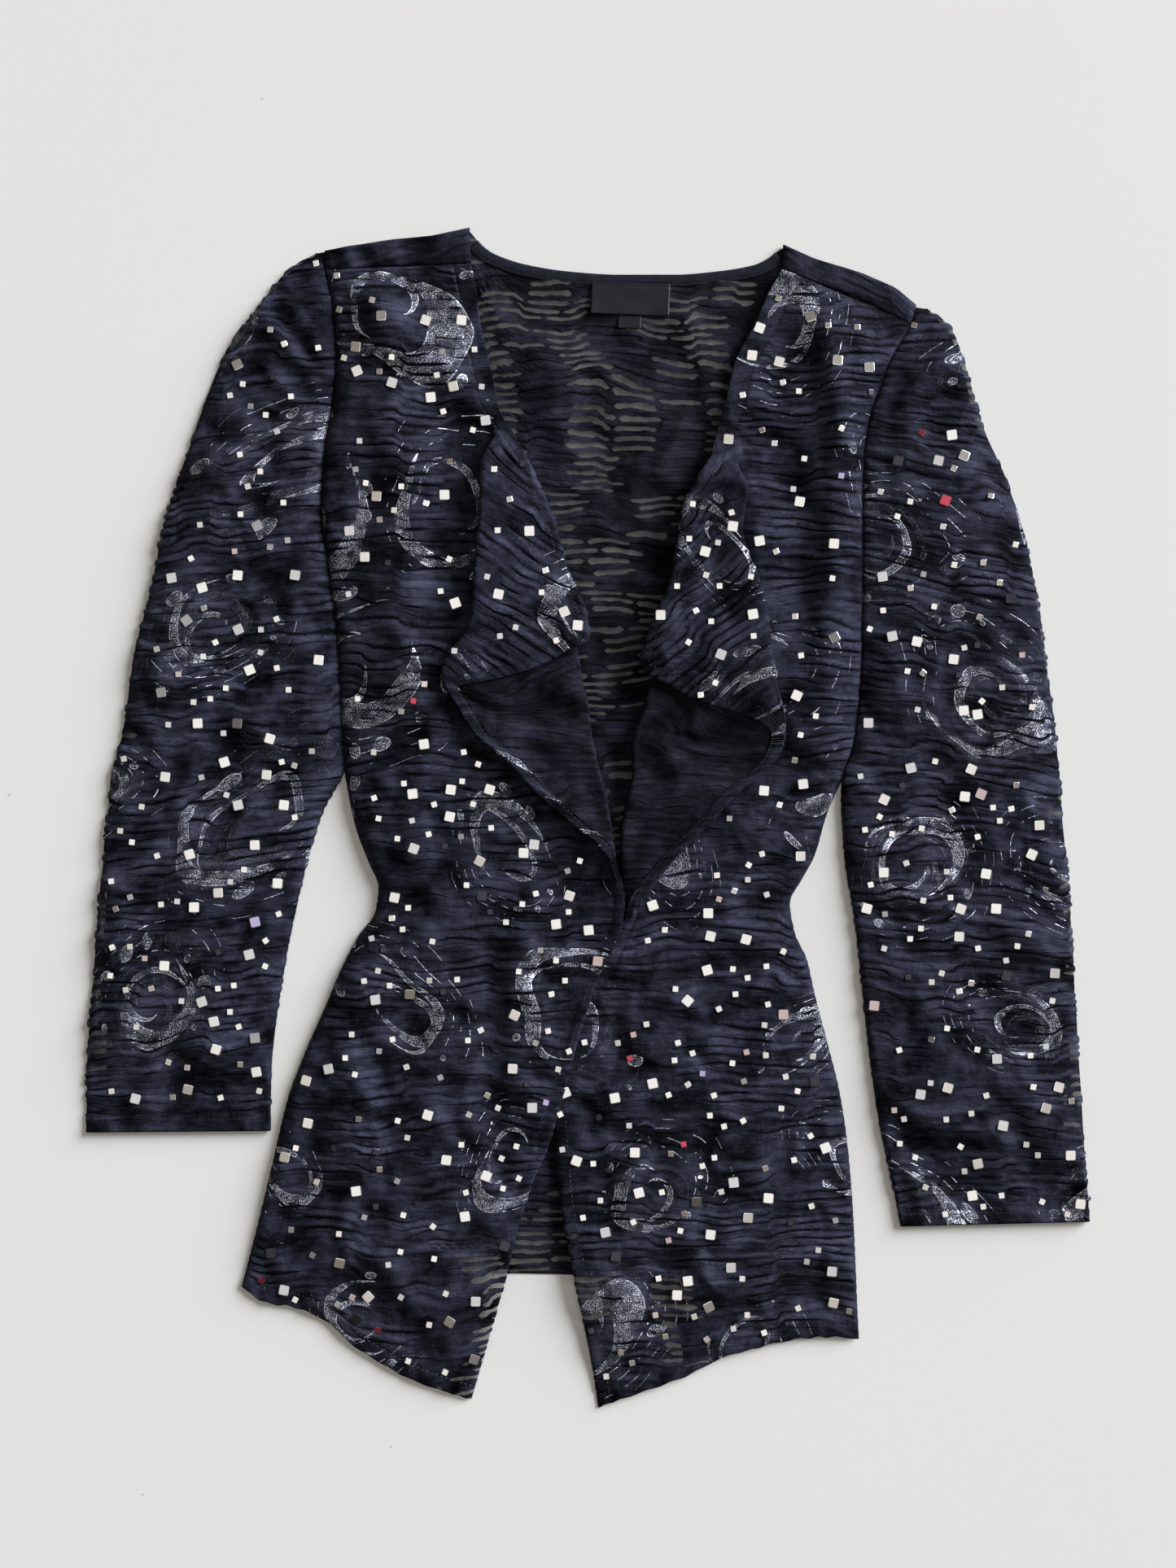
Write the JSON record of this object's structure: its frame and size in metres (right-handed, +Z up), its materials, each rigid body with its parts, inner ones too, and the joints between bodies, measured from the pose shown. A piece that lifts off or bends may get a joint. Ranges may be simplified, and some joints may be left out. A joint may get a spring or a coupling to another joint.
{
  "type": "shrug",
  "caption": "Open-front waterfall shrug with long sleeves in crinkled stretch knit, laid flat on its back with both front edges folded into lapels.",
  "frame": {"origin": "middle of the garment's box on the surface it lies on", "axes": "+Z up from the surface, +Y towards the neck, +X towards the wearer's left"},
  "size_m": [0.652, 0.767, 0.0193],
  "materials": {
    "crinkle_knit": "black crinkled stretch knit with sheer slits, silver foil squares and silver glitter",
    "jersey_binding": "plain black jersey binding",
    "woven_label": "bare black woven satin"
  },
  "bodies": {
    "root": {"back_panel": "crinkle_knit", "front_right": "crinkle_knit", "front_left": "crinkle_knit", "sleeve_right": "crinkle_knit", "sleeve_left": "crinkle_knit", "neck_binding": "jersey_binding", "maker_label": "woven_label", "size_tab": "woven_label"}
  },
  "joints": []
}
